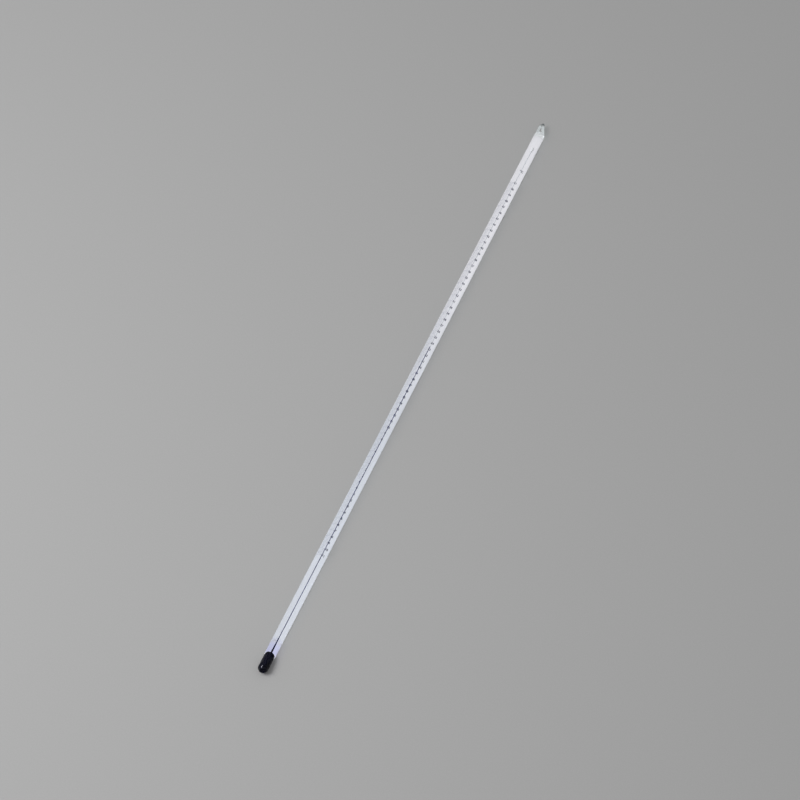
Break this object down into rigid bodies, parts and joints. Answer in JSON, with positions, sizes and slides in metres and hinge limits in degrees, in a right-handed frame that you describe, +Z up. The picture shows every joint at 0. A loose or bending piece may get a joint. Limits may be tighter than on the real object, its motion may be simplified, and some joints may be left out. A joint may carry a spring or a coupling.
{
  "type": "laboratory thermometer",
  "caption": "Solid-stem glass thermometer with a white enamel back, a bulb of blue liquid, a liquid thread that rises and falls along an etched scale, and a glass hanging eye.",
  "frame": {"origin": "on the bench under the middle of the thermometer, which lies with its scale facing up", "axes": "+Y along the rod from the bulb to the hanging eye, +Z up, +X to the right of a reader who looks along +Y"},
  "size_m": [0.006, 0.4, 0.006],
  "materials": {
    "rod_glass": "gloss",
    "bulb_glass": "gloss",
    "enamel": "gloss",
    "liquid": "gloss",
    "scale_ink": "satin"
  },
  "bodies": {
    "glass": {"stem": "rod_glass", "enamel_back": "enamel", "bulb": "bulb_glass", "bulb_liquid": "liquid", "liquid_column": "liquid", "hanging_eye": "rod_glass", "degree_marks": "scale_ink", "fine_marks": "scale_ink"},
    "thread_top": {"liquid_top": "liquid"}
  },
  "joints": [
    {"name": "liquid_rise", "type": "slide", "parent": "glass", "child": "thread_top", "axis": [0, 1, 0], "range_m": [-0.14948, 0.12456], "deforming": ["liquid_column"]}
  ]
}
